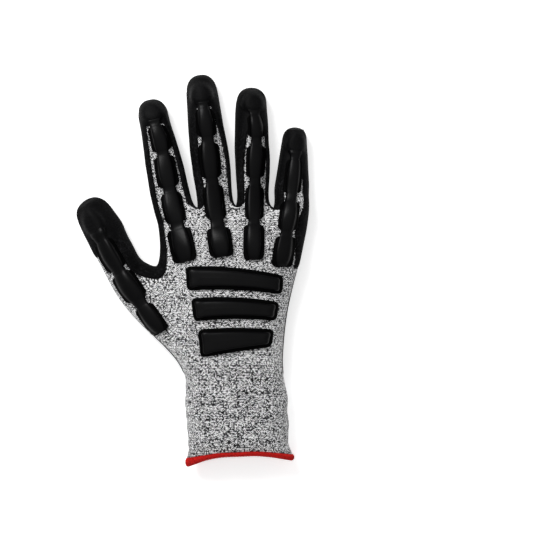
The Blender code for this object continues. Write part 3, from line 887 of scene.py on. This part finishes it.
def marled_yarn_knit():
    """White, grey and black cut-resistant yarn knitted plain: salt and pepper flecks on soft V stitches,
    with painted shade in the stitches' hollows and over the cuff.
    """
    made, tree, shader, _, calc = material("marled_yarn_knit")
    uv, height, leg, ply = stitch_nodes(tree)
    cell = result(tree, "ShaderNodeCombineXYZ", {0: leg, 1: ply})
    own = result(tree, "ShaderNodeTexWhiteNoise", {"Vector": cell}, noise_dimensions="3D")
    row = result(tree, "ShaderNodeTexWhiteNoise", {"W": ply}, noise_dimensions="1D")
    fibre = clouds(tree, uv, FIBRE_SIZE, 3.0)
    patch = clouds(tree, uv, PATCH_SIZE, 1.0)
    tone = calc("MULTIPLY_ADD", fibre, FIBRES, calc("MULTIPLY", patch, PATCHES))
    tone = calc("MULTIPLY_ADD", own, OWN, tone)
    turn = calc("FLOORED_MODULO", calc("ADD", leg, ply), 2.0)
    tone = calc("MULTIPLY_ADD", calc("SUBTRACT", turn, 0.5), TURNS, tone)
    tone = calc("MULTIPLY_ADD", calc("SUBTRACT", row, 0.5), COURSES, tone)
    # Painted shade: the knit's tone is shifted darker over the cuff and lighter over the hand.
    along = add(tree, "ShaderNodeSeparateXYZ", {0: uv}).outputs[1]
    inputs = {0: along, 1: CUFF_FROM, 2: CUFF_TO, 3: HAND_LIGHT_SHIFT, 4: CUFF_SHADE_SHIFT}
    tone = calc("SUBTRACT", tone, result(tree, "ShaderNodeMapRange", inputs))
    yarn = ramp(
        tree, tone,
        (0.37, "#020203"), (0.445, "#242426"), (0.485, "#a4a4a7"), (0.55, "#ececee"), (0.70, "#ffffff"),
    )
    # Painted shade: the yarn's colour is darkened where it lies low in the stitches' hollows.
    painted_hollow_shade = ramp(tree, height, (0.0, "#4a4a4a"), (0.5, "#c0c0c0"), (0.8, "#ffffff"))
    inputs = {0: 1.0, 6: yarn, 7: painted_hollow_shade}
    shaded = add(tree, "ShaderNodeMix", inputs, data_type="RGBA", blend_type="MULTIPLY").outputs[2]
    soaked = calc("MULTIPLY_ADD", own, SOAK, stored(tree, "coat_reach"))
    soaked = calc("GREATER_THAN", soaked, SOAK_LIMIT)
    inputs = {0: soaked, 6: shaded, 7: (*linear("#0e0e0f"), 1)}
    relief = calc("MULTIPLY_ADD", fibre, 0.35, height)
    plug(tree, shader, {
        "Base Color": add(tree, "ShaderNodeMix", inputs, data_type="RGBA").outputs[2],
        "Roughness": 0.88,
        "Sheen Weight": 0.25,
        "Sheen Roughness": 0.5,
        "Normal": bump(tree, relief, 0.9, 0.35 * MM),
    })
    return made


# Where the coating's tone is neither pitted nor raised
MIDDLE_TONE = 0.52


def sandy_nitrile():
    """Black nitrile dipped and salted while wet: a dull skin full of fine pits, over the knit's courses."""
    made, tree, shader, place, calc = material("sandy_nitrile")
    _, height, _, _ = stitch_nodes(tree)
    inputs = {"Vector": place, "Scale": 1 / (0.8 * MM)}
    grit = add(tree, "ShaderNodeTexVoronoi", inputs, feature="SMOOTH_F1").outputs["Distance"]
    grain = clouds(tree, place, 1.2 * MM, 4.0)
    cloudy = clouds(tree, place, 14 * MM, 2.0)
    smooth = stored(tree, "glossy")
    salted = calc("MULTIPLY_ADD", smooth, -0.8, 1.0)
    tone = calc("MULTIPLY_ADD", grain, 0.75, calc("MULTIPLY", cloudy, 0.25))
    tone = calc("MULTIPLY_ADD", calc("SUBTRACT", tone, MIDDLE_TONE), salted, MIDDLE_TONE)
    rough = calc("MULTIPLY_ADD", grain, 0.3, 0.6)
    sandy = calc("MULTIPLY", calc("MULTIPLY_ADD", grit, -0.6, grain), salted)
    relief = calc("MULTIPLY_ADD", height, 0.25, sandy)
    plug(tree, shader, {
        "Base Color": ramp(tree, tone, (0.36, "#020202"), (MIDDLE_TONE, "#09090a"), (0.68, "#202022")),
        "Roughness": calc("SUBTRACT", rough, calc("MULTIPLY", smooth, 0.22)),
        "Specular IOR Level": 0.06,
        "Normal": bump(tree, relief, 0.9, 0.35 * MM),
    })
    return made


def moulded_rubber():
    """Rubber moulded in a blasted tool: satin on the raised forms, duller on the thin flanges, with painted
    light making the raised forms' colour lighter than the flanges'.
    """
    made, tree, shader, place, calc = material("moulded_rubber")
    raised = stored(tree, "raised")
    mottle = clouds(tree, place, 6 * MM, 3.0)
    # Painted light and shade: the base colour is lighter on the raised forms than on the flanges; the
    # mottle is the rubber's own uneven tone.
    tone = calc("MULTIPLY_ADD", raised, 0.6, calc("MULTIPLY", mottle, 0.4))
    rough = calc("MULTIPLY_ADD", raised, -0.26, 0.54)
    plug(tree, shader, {
        "Base Color": ramp(tree, tone, (0.1, "#010101"), (0.6, "#030304"), (1.0, "#060607")),
        "Roughness": calc("MULTIPLY_ADD", mottle, 0.12, rough),
        "Specular IOR Level": calc("MULTIPLY_ADD", raised, 0.09, 0.03),
        "Normal": bump(tree, clouds(tree, place, 0.35 * MM, 2.0), 0.25, 0.08 * MM),
    })
    return made


def overlock_thread():
    """Spun polyester sewing thread, wrapped close: red, matt, a little uneven from strand to strand."""
    made, tree, shader, place, _ = material("overlock_thread")
    strand = clouds(tree, place, 1.2 * MM, 3.0)
    inputs = {"Vector": place, "Scale": 1 / (3 * MM), "Distortion": 3.0}
    twist = add(tree, "ShaderNodeTexWave", inputs, bands_direction="DIAGONAL").outputs[1]
    plug(tree, shader, {
        "Base Color": ramp(tree, strand, (0.25, "#900a08"), (0.5, "#c20f0a"), (0.75, "#d62018")),
        "Roughness": 0.8,
        "Sheen Weight": 0.05,
        "Specular IOR Level": 0.2,
        "Normal": bump(tree, twist, 0.4, 0.1 * MM),
    })
    return made


# Knit and coating. The dip feathers out over the knit at its edge, in soft folds, and the knit is drawn in
# a little under it.
EDGE_DEPTH, DEEPER, FEATHER = 0.18 * MM, 0.72 * MM, 1.6 * MM
FOLD_DEPTH, FOLD_SIZE, FOLD_FADE = 0.25 * MM, 11 * MM, 4 * MM
DRAWN_IN, DRAWN_FADE = 0.25 * MM, 2 * MM
COAT_FILL = 1.1 * MM
COAT_LEVEL = 0.02 * MM
SMOOTH_REACH = 14 * MM


def knitted_shell(surface, reach, finish):
    """The knit, with its true wall."""
    knit = finished("knitted_shell", surface.copy(), finish, "knit_liner")
    places, away = coordinates(knit.data), normals(knit.data)
    drawn = eased(reach / DRAWN_FADE) * DRAWN_IN
    set_coordinates(knit.data, places - away * drawn[:, None])
    wall(knit, KNIT_WALL)


def dipped_coating(surface, finish):
    """The dipped skin, swelling over the guards' ends and smooth at the fingertips."""
    mesh = keep_coated(surface)
    refine_tips(mesh)
    depth = np.empty(len(mesh.vertices))
    mesh.attributes["coat_reach"].data.foreach_get("value", depth)
    depth *= MM
    places, away = coordinates(mesh), normals(mesh)
    thickness = EDGE_DEPTH + DEEPER * (1 - np.exp(-depth / FEATHER))
    folds = np.array([noise.noise(Vector(p) / FOLD_SIZE) for p in places])
    thickness += folds * FOLD_DEPTH * eased(depth / FOLD_FADE)
    on_back = eased((away[:, 2] - 0.1) / 0.5) * eased(depth / (2 * MM))
    for finger in DIGITS:
        thickness += MEMBRANE * over_bead(places, finger, BEADS[finger.name][0]) * on_back
    places += away * thickness[:, None]
    places[:, 2] = np.maximum(places[:, 2], COAT_LEVEL)
    set_coordinates(mesh, places)
    glossy = np.zeros(len(places))
    for finger in DIGITS:
        apart = np.hypot(*(places[:, :2] - np.array(on_finger(finger, (finger.bare + 1) / 2, 0))).T)
        above = eased((places[:, 2] / finger.thickness - 0.5) / 0.3)
        glossy = np.maximum(glossy, eased(1.6 - apart / SMOOTH_REACH) * above)
    set_attribute(mesh, "glossy", glossy)
    wall(finished("dipped_coating", mesh, finish, "palm_coating"), COAT_FILL)


# Guards


# Corners of a swelling's flange, and of the guard's own front end
CORNER = 3.0 * MM
TIP_CORNER = 5.5 * MM

# How a swelling ends, at the guard's own end and at the neck to the next one: the shares of its flange's
# width, its ridge's width and its height that are left there, and the powers by which the ridge's width
# and the height come up between
END = (0.55, 0.25, 0.0, 0.4, 0.5)
NECK = (0.46, 0.74, 0.62, 0.6, 0.8)
RIDGE_FULLNESS, LAST_FULLNESS = 1.2, 1.08
BEAD_STEPS = 20
UNDER_SHARES = (0.7, 0.35, 0.0, -0.35, -0.7)


def bead_ends(finger, bead):
    """Distances of a swelling's start and end ahead of the finger's root."""
    return [end * (finger.length if end > 0 else PALM_LENGTH) for end in (bead.start, bead.end)]


def guard_stations(finger):
    """Sections down a guard: distance from the root, side, half widths and height as shares, and how far
    it has come clear of the coating that its front end lies under."""
    beads = BEADS[finger.name]
    ends = [bead_ends(finger, bead) for bead in beads]
    middles = [(a + b) / 2 for a, b in ends]
    stations = []

    def side_at(distance):
        for (m0, b0), (m1, b1) in zip(zip(middles, beads), zip(middles[1:], beads[1:])):
            if distance >= m1 or m1 is middles[-1]:
                return b0.side + (b1.side - b0.side) * (m0 - distance) / (m0 - m1)

    for bead, (start, end) in zip(beads, ends):
        length = start - end
        first, last = bead is beads[0], bead is beads[-1]
        for k in range(BEAD_STEPS + 1):
            share = (1 - math.cos(math.pi * k / BEAD_STEPS)) / 2
            lead = share < 0.5
            closed = first if lead else last
            flange_low, ridge_low, height_low, ridge_power, height_power = END if closed else NECK
            turn = min(1.0, length * min(share, 1 - share) / (TIP_CORNER if first and lead else CORNER))
            corner = math.sqrt(1 - (1 - turn) ** 2)
            swell = math.sin(math.pi * share)
            flange = bead.flange * (flange_low + (1 - flange_low) * corner) * (0.96 + 0.04 * swell)
            ridge = bead.ridge * (ridge_low + (1 - ridge_low) * swell**ridge_power)
            ridge *= LAST_FULLNESS if last else RIDGE_FULLNESS
            height = bead.height * (height_low + (1 - height_low) * swell**height_power)
            distance = start - length * share
            clear = blend(share, (0.4, 0.1), (1.05, 1)) if first else 1
            stations.append((distance, side_at(distance), flange, ridge, height, clear))
    return stations


def guard_profile():
    """Half section of a guard from flange edge to crown: shares of flange, of ridge, and of the rise."""
    points = [(1.0, 0.0, -1.0), (1.0, 0.0, -0.35), (0.985, 0.0, -0.1), (0.93, 0.0, 0.0)]
    points += [(0.55, 0.47, 0.01), (0.30, 0.74, 0.03), (0.0, 1.06, 0.09), (0.0, 0.99, 0.25)]
    for k in range(1, 7):
        angle = math.pi / 2 * k / 6
        points.append((0.0, 0.96 * math.cos(angle) ** 0.6, 0.25 + 0.75 * math.sin(angle) ** 0.7))
    return points


def guard(name, finger, ground, finish):
    """The moulded strip of swellings along a finger's back, lying on the glove."""
    forward, rightward = directions(finger)
    half = guard_profile()
    sections = [(-1, place) for place in half] + [(1, place) for place in reversed(half[:-1])]
    loops, raised = [], []
    for distance, side, flange, ridge, height, clear in guard_stations(finger):
        width = half_width(finger, max(0.0, distance / finger.length))
        middle = root_of(finger) + forward * distance + rightward * side * width
        rise = max(GUARD_HEIGHT * height - FLANGE_HEIGHT, 0)
        loop = []
        for sign, (a, b, up) in sections:
            lift = FLANGE_HEIGHT * (1 + up) if up < 0 else FLANGE_HEIGHT + rise * up
            above = (STAND + lift) * clear if up > -1 else -SUNK
            across = sign * (a * flange + b * ridge) * width
            loop.append(ground.above(middle + rightward * across, above))
            raised.append(max(up, 0.0))
        for share in UNDER_SHARES:
            loop.append(ground.above(middle + rightward * share * flange * width, -SUNK))
            raised.append(0.0)
        loops.append(loop)
    return finished(name, loft(loops, raised, capped=True), finish, f"guard_{finger.name}")


# Bars, in millimetres: distance in from the outline and height over the flange's foot, then shares of the
# way on to the middle line and heights there
BAR_RISE = (
    (0.0, -0.6), (0.0, 0.6), (0.12, 1.0), (0.5, 1.25), (1.5, 1.3), (1.9, 1.25), (2.15, 1.35),
    (2.3, 2.0), (2.45, 2.8), (2.75, 3.3), (3.2, 3.55), (3.9, 3.7), (4.8, 3.8),
)
BAR_CROWN = ((0.35, 3.842), (0.7, 3.884), (1.0, 3.95))
BAR_FOOT = 0.3
BAR_FLANGE, BAR_RIDGE = 1.3, 2.4

# A bar's rounded corners, how far its middle line stays from its ends beyond half their length, and the
# steps along its edges, its ends and its corners
BAR_CORNER = 3.6 * MM
LINE_INSET = 1.2 * MM
EDGE_STEPS, SIDE_STEPS, CORNER_STEPS = 44, 8, 6


def bar_outline(sizes):
    """Plan points round a bar with rounded corners, and for each its nearest on the bar's middle line."""
    left = sizes.left * PALM_WIDTH
    width = sizes.right * PALM_WIDTH - left

    def edge(share, front):
        """Point on the front or back edge at a share of the bar's width."""
        if front:
            a, b, bow, inward = sizes.front_left, sizes.front_right, sizes.front_bow, 0
        else:
            a, b, bow, inward = sizes.back_left, sizes.back_right, sizes.back_bow, sizes.taper * PALM_WIDTH
        back = a + (b - a) * share - bow * 4 * share * (1 - share)
        x = left + inward + (width - 2 * inward) * share
        return Vector((x, MIDDLE_ROOT.y - PALM_LENGTH * back))

    def corner(a, middle, b):
        """Points of a rounded corner between two points."""
        shares = [k / CORNER_STEPS for k in range(1, CORNER_STEPS)]
        return [a * (1 - t) ** 2 + middle * 2 * t * (1 - t) + b * t**2 for t in shares]

    points = []
    inset = BAR_CORNER / width
    for front, begin, end in ((True, 0, 1), (False, 1, 0)):
        first, last = (abs(x - inset) for x in (begin, end))
        line = [edge(first + (last - first) * k / EDGE_STEPS, front) for k in range(EDGE_STEPS + 1)]
        here, there = edge(end, front), edge(end, not front)
        along = (there - here).normalized() * BAR_CORNER
        side = [(here + along).lerp(there - along, k / SIDE_STEPS) for k in range(SIDE_STEPS + 1)]
        points += line + corner(line[-1], here, side[0]) + side
        points += corner(side[-1], there, edge(last, not front))
    low, high = ((edge(x, True) - edge(x, False)).length / 2 + LINE_INSET for x in (0, 1))
    spine = []
    for point in points:
        share = min(max(point.x - left, low), width - high) / width
        spine.append((edge(share, True) + edge(share, False)) / 2)
    return points, spine


def bar(name, sizes, ground, finish):
    """One moulded bar across the back of the hand: a thin flange round a raised, softly crowned top."""
    outline, spine = bar_outline(sizes)
    loops, raised = [[ground.above(middle, -SUNK) for middle in spine]], [0.0] * len(spine)
    rows = [(inset, 0.0, height) for inset, height in BAR_RISE]
    rows += [(BAR_RISE[-1][0], share, height) for share, height in BAR_CROWN]
    for inset, share, height in rows:
        loop = []
        for point, middle in zip(outline, spine):
            start = point.lerp(middle, min(1.0, inset * MM / (middle - point).length))
            loop.append(ground.above(start.lerp(middle, share), (BAR_FOOT + height) * MM))
        loops.append(loop)
        raised += [min(1.0, max(0.0, (height - BAR_FLANGE) / BAR_RIDGE))] * len(loop)
    return finished(name, loft(loops, raised, capped=False), finish, sizes.name)


# Cuff edge
BAND_MIDDLE = 1.45 * MM
BAND_LEFT = 2.8 * MM
BAND_RIGHT = 1.95 * MM
BAND_THICKNESS = 1.5 * MM
BAND_GAP = 0.1 * MM
STITCH_STEP = 1.0 * MM
THREAD = 0.62 * MM
CORE_SHARE, CORE_STEPS = 0.92, 12

# Sizes that the thread's geometry tree is given
WRAP_SIZES = {"Stitch step": STITCH_STEP, "Thread radius": THREAD / 2, "Stitch slant": 1.5 * STITCH_STEP}


def mouth_loop(mesh):
    """Vertices of the cuff's open edge in order."""
    shape = bmesh.new()
    shape.from_mesh(mesh)
    start = next(e for e in shape.edges if e.is_boundary).verts[0]
    loop, vertex = [], start
    while not loop or vertex is not start:
        loop.append(vertex)
        onward = [e.other_vert(vertex) for e in vertex.link_edges if e.is_boundary]
        vertex = next(v for v in onward if v not in loop[-2:])
    found = [(v.co.copy(), v.normal.copy()) for v in loop]
    shape.free()
    return found


def overlock_tree(finish):
    """Geometry tree that wraps a path in slanted turns of thread, and its sizes by socket identifier."""
    tree = bpy.data.node_groups.new("overlock", "GeometryNodeTree")
    for way in ("INPUT", "OUTPUT"):
        tree.interface.new_socket("Geometry", in_out=way, socket_type="NodeSocketGeometry")
    sizes = {}
    for name, value in WRAP_SIZES.items():
        made = tree.interface.new_socket(name, in_out="INPUT", socket_type="NodeSocketFloat")
        sizes[made.identifier] = value
    step = partial(result, tree)
    given = add(tree, "NodeGroupInput").outputs
    path = step("GeometryNodeMeshToCurve", {0: given["Geometry"]})
    inputs = {"Curve": path, "Length": given["Stitch step"]}
    path = step("GeometryNodeResampleCurve", inputs, mode="LENGTH")
    wide = step("GeometryNodeInputNamedAttribute", {"Name": "band"}, data_type="FLOAT")
    outward = step("GeometryNodeInputNamedAttribute", {"Name": "outward"}, data_type="FLOAT_VECTOR")
    inputs = {"Vector": step("GeometryNodeInputTangent")}
    turned = step("FunctionNodeAlignRotationToVector", inputs, axis="Z", pivot_axis="AUTO")
    inputs = {"Rotation": turned, "Vector": outward}
    turned = step("FunctionNodeAlignRotationToVector", inputs, axis="X", pivot_axis="Z")
    inputs = {"Resolution": 14, "Rotations": 1.0, "Start Radius": 1.0, "End Radius": 1.0, "Height": 1.0}
    turn = step("GeometryNodeCurveSpiral", inputs)
    turn = step("GeometryNodeTransform", {"Geometry": turn, "Translation": (0, 0, -0.5)})
    size = step("ShaderNodeCombineXYZ", {0: BAND_THICKNESS, 1: wide, 2: given["Stitch slant"]})
    inputs = {"Points": path, "Instance": turn, "Rotation": turned, "Scale": size}
    copies = step("GeometryNodeInstanceOnPoints", inputs)
    section = step("GeometryNodeCurvePrimitiveCircle", {"Resolution": 6, "Radius": given["Thread radius"]})
    wraps = step("GeometryNodeRealizeInstances", {0: copies})
    inputs = {"Curve": wraps, "Profile Curve": section, "Fill Caps": True}
    wraps = step("GeometryNodeCurveToMesh", inputs)
    wraps = step("GeometryNodeSetShadeSmooth", {"Geometry": wraps})
    wraps = step("GeometryNodeRealizeInstances", {0: wraps})
    wraps = step("GeometryNodeSetMaterial", {"Geometry": wraps, "Material": finish})
    add(tree, "NodeGroupOutput", {0: wraps})
    return tree, sizes


def overlocked_edge(surface, finish):
    """The cuff's overlocked edge: close turns of thread over a soft core, wider at its ends."""
    loop = mouth_loop(surface)
    xs = [co.x for co, _ in loop]
    middle, half = (min(xs) + max(xs)) / 2, (max(xs) - min(xs)) / 2
    points, outward, band = [], [], []
    for co, normal in loop:
        out = Vector((normal.x, 0, normal.z)).normalized()
        share = (co.x - middle) / half
        end = BAND_LEFT if share < 0 else BAND_RIGHT
        width = BAND_MIDDLE + (end - BAND_MIDDLE) * abs(share) ** 3
        point = co - out * KNIT_WALL / 2 - Vector((0, width + BAND_GAP, 0))
        point.z = max(point.z, BAND_THICKNESS + THREAD / 2)
        points.append(point)
        outward.append(out)
        band.append(width)
    path = bpy.data.meshes.new("cuff_path")
    path.from_pydata(points, [(i, (i + 1) % len(points)) for i in range(len(points))], [])
    set_attribute(path, "band", band)
    layer = path.attributes.new("outward", "FLOAT_VECTOR", "POINT")
    layer.data.foreach_set("vector", np.array(outward).ravel())
    guide = put("cuff_path", path)
    stitch = guide.modifiers.new("overlock", "NODES")
    stitch.node_group, sizes = overlock_tree(finish)
    for identifier, value in sizes.items():
        stitch[identifier] = value
    wraps = evaluated(guide)
    bpy.data.objects.remove(guide)

    with edited(wraps) as core:
        rings = []
        for point, out, width in zip(points, outward, band):
            ring = []
            for k in range(CORE_STEPS):
                angle = math.tau * k / CORE_STEPS
                offset = out * math.cos(angle) * BAND_THICKNESS + Vector((0, math.sin(angle) * width, 0))
                ring.append(core.verts.new(point + offset * CORE_SHARE))
            rings.append(ring)
        bridge(core, rings + rings[:1])
        bmesh.ops.recalc_face_normals(core, faces=core.faces[:])
    return finished("overlocked_edge", wraps, finish, "cuff_edge")


# Room


# The camera looks straight down on the picture's middle, and its height gives the picture's width
PICTURE_MIDDLE = (20.475 * MM, 34.775 * MM)
PICTURE_WIDTH = 346.45 * MM
GLOVE_LEVEL = 12 * MM
LENS, SENSOR = 135, 36
FLOOR_REACH = 3.0
KEY_PLACE, KEY_AIM = Vector((-0.62, 0.85, 1.0)), Vector((-0.02, 0.05, 0))


def studio():
    """Pale floor that glows, painted light that fills the shade round and between the fingers; soft light
    and a camera straight above.
    """
    made, tree, shader, place, _ = material("glowing_pale_board")
    plug(tree, shader, {
        "Base Color": ramp(tree, clouds(tree, place, 40 * MM, 3.0), (0.3, "#f2f2f2"), (0.7, "#f8f8f8")),
        "Roughness": 0.9,
        # Painted light: the floor glows, washing out the shadows round the glove and the shade between the
        # fingers.
        "Emission Color": (1, 1, 1, 1),
        "Emission Strength": 0.55,
    })
    mesh = bpy.data.meshes.new("floor")
    corners = [(x * FLOOR_REACH, y * FLOOR_REACH, 0) for x, y in ((-1, -1), (1, -1), (1, 1), (-1, 1))]
    mesh.from_pydata(corners, [], [(0, 1, 2, 3)])
    mesh.materials.append(made)
    floor = put("floor", mesh)

    scene = bpy.context.scene
    scene.world = bpy.data.worlds.new("soft_room")
    scene.world.use_nodes = True
    sky = scene.world.node_tree
    ways = add(sky, "ShaderNodeTexCoord").outputs["Generated"]
    up = add(sky, "ShaderNodeSeparateXYZ", {0: ways}).outputs[2]
    glow = ramp(sky, up, (0.0, "#8c8c8c"), (0.5, "#b4b4b4"), (1.0, "#ffffff"))
    plug(sky, sky.nodes["Background"], {0: glow, 1: 0.72})

    lamp = bpy.data.lights.new("key_softbox", "AREA")
    lamp.energy, lamp.size = 14, 0.6
    softbox = put("key_softbox", lamp)
    softbox.location = KEY_PLACE
    softbox.rotation_euler = (KEY_AIM - KEY_PLACE).to_track_quat("-Z", "Y").to_euler()

    lens = bpy.data.cameras.new("camera")
    lens.lens, lens.sensor_width = LENS, SENSOR
    scene.camera = put("camera", lens)
    scene.camera.location = (*PICTURE_MIDDLE, PICTURE_WIDTH * LENS / SENSOR + GLOVE_LEVEL)
    scene.view_settings.view_transform = "Standard"


# The glove

surface = smooth_hand()
round_tips(surface)
for place in EVENED:
    relax(surface, *place)
rumple(surface)
reach = coat_reach(surface)
lay_stitches(surface)
set_attribute(surface, "coat_reach", reach / MM)
ground = Ground(surface)

knit_finish = marled_yarn_knit()
coat_finish = sandy_nitrile()
rubber_finish = moulded_rubber()
thread_finish = overlock_thread()

knitted_shell(surface, reach, knit_finish)
dipped_coating(surface, coat_finish)
for finger in DIGITS:
    guard(f"{finger.name}_guard", finger, ground, rubber_finish)
for name, sizes in zip(("front_bar", "middle_bar", "rear_bar"), BARS):
    bar(name, sizes, ground, rubber_finish)
overlocked_edge(surface, thread_finish)
studio()
